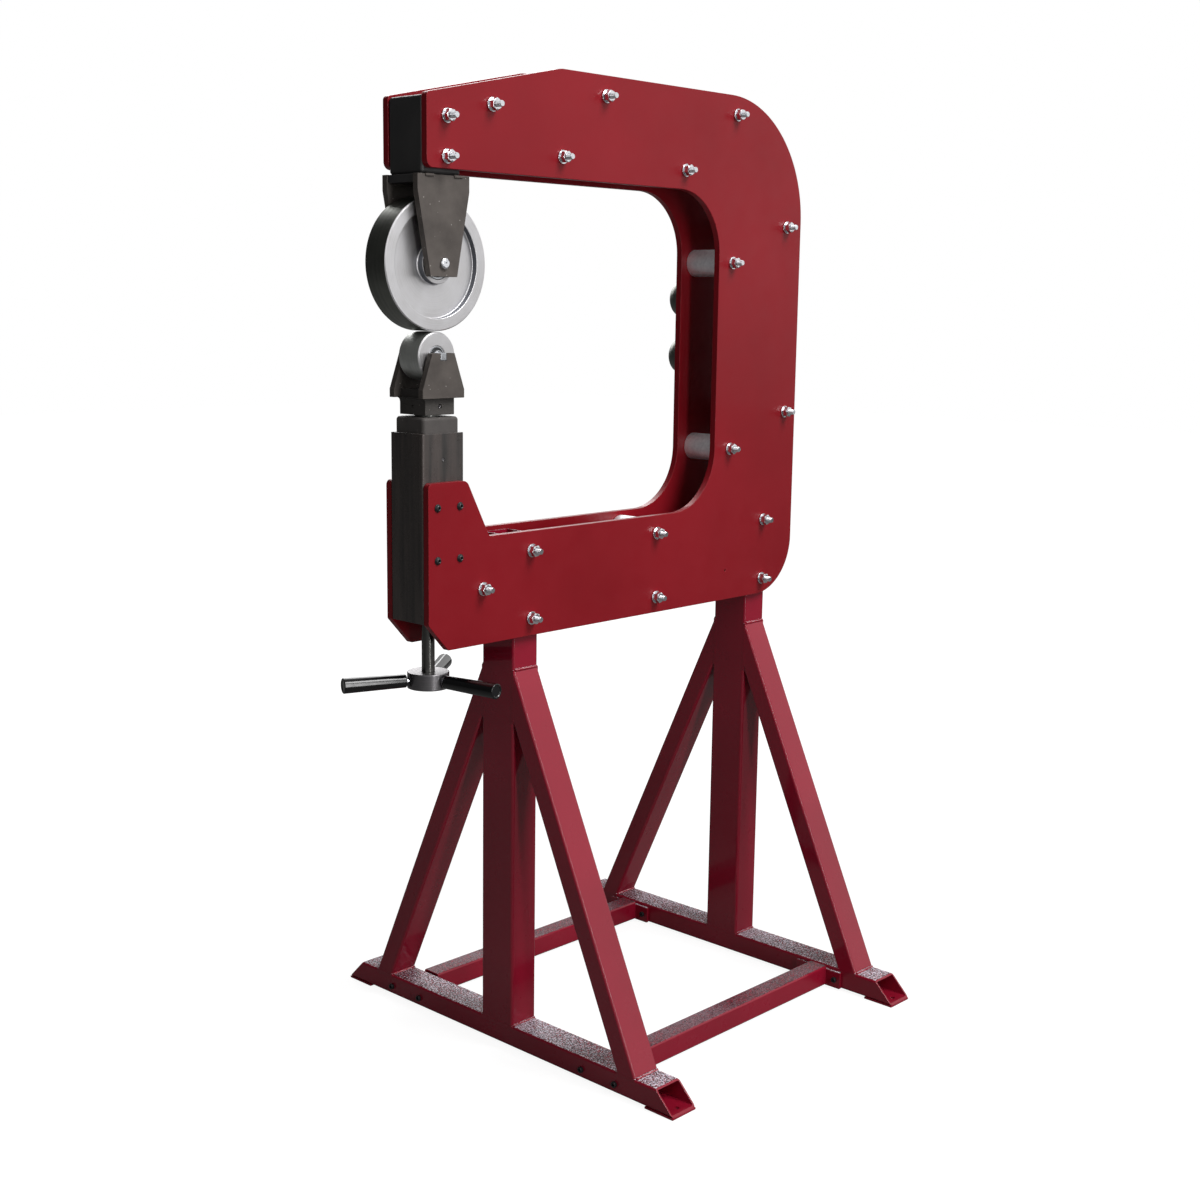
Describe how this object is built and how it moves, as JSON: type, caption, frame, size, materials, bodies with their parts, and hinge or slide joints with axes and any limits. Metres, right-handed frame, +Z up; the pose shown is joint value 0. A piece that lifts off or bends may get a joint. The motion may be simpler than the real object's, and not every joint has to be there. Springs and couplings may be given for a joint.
{
  "type": "english wheel",
  "caption": "Floor standing english wheel: deep C-frame of bolted steel plates on a braced tube stand, with a large upper wheel, a small anvil wheel and a hand screw below.",
  "frame": {"origin": "on the floor, at the middle of the machine's bounding box", "axes": "+X from the wheels back to the column, +Y along the wheels' axles to the machine's left, +Z up"},
  "size_m": [1.0212, 0.8084, 1.6335],
  "materials": {
    "frame_paint": "satin dark red",
    "stand_paint": "gloss dark red",
    "black_steel": "satin black",
    "brown_steel": "dark oiled steel",
    "polished_steel": "ground and polished",
    "machined_steel": "turned",
    "zinc": "bright zinc plate",
    "bronze": "machined",
    "black_plastic": "gloss black"
  },
  "bodies": {
    "frame": {"right_side_plate": "frame_paint", "left_side_plate": "frame_paint", "spacer_bolt_01": "zinc", "spacer_bolt_02": "zinc", "spacer_bolt_03": "zinc", "spacer_bolt_04": "zinc", "spacer_bolt_05": "zinc", "spacer_bolt_06": "zinc", "spacer_bolt_07": "zinc", "spacer_bolt_08": "zinc", "spacer_bolt_09": "zinc", "spacer_bolt_10": "zinc", "spacer_bolt_11": "zinc", "spacer_bolt_12": "zinc", "through_bolt_1": "zinc", "through_bolt_2": "zinc", "through_bolt_3": "zinc", "through_bolt_4": "zinc", "through_bolt_5": "zinc", "through_bolt_6": "zinc", "head_block": "black_steel", "wheel_fork": "brown_steel", "upper_axle": "machined_steel", "axle_bolt": "zinc", "ram_sleeve": "black_steel", "sleeve_base": "black_steel", "front_post": "stand_paint", "rear_post": "stand_paint", "front_beam": "stand_paint", "rear_beam": "stand_paint", "front_right_brace": "stand_paint", "front_left_brace": "stand_paint", "rear_right_brace": "stand_paint", "rear_left_brace": "stand_paint", "right_rail": "stand_paint", "left_rail": "stand_paint", "spare_peg_1": "black_steel", "spare_peg_2": "black_steel", "spare_anvil_1": "polished_steel", "spare_anvil_2": "polished_steel"},
    "upper_wheel_unit": {"upper_wheel": "polished_steel", "upper_bearing_right": "machined_steel", "upper_bearing_left": "machined_steel"},
    "hand_screw": {"adjusting_screw": "machined_steel", "thrust_collar": "machined_steel", "hand_hub": "machined_steel", "hub_set_screw": "black_steel", "handle_rod_1": "zinc", "handle_rod_2": "zinc", "handle_rod_3": "zinc", "handle_grip_1": "black_plastic", "handle_grip_2": "black_plastic", "handle_grip_3": "black_plastic"},
    "ram_unit": {"ram": "black_steel", "ram_nut": "bronze", "anvil_cradle": "brown_steel", "anvil_shaft": "machined_steel"},
    "anvil_unit": {"anvil_wheel": "polished_steel", "anvil_bearing_right": "machined_steel", "anvil_bearing_left": "machined_steel"}
  },
  "joints": [
    {"name": "wheel_spin", "type": "hinge", "parent": "frame", "child": "upper_wheel_unit", "pos_m": [-0.37544, 0, 1.3243], "axis": [0, 1, 0], "continuous": true},
    {"name": "screw_turn", "type": "hinge", "parent": "frame", "child": "hand_screw", "pos_m": [-0.37544, 0, 0.67], "axis": [0, 0, 1], "range_deg": [0, 3600]},
    {"name": "ram_lift", "type": "slide", "parent": "frame", "child": "ram_unit", "axis": [0, 0, 1], "range_m": [-0.05, 0]},
    {"name": "anvil_spin", "type": "hinge", "parent": "ram_unit", "child": "anvil_unit", "pos_m": [-0.37544, 0, 1.1842], "axis": [0, 1, 0], "continuous": true}
  ],
  "couplings": [
    {"joint": "ram_lift", "follows": "screw_turn", "m_per_rad": -0.00079577}
  ]
}
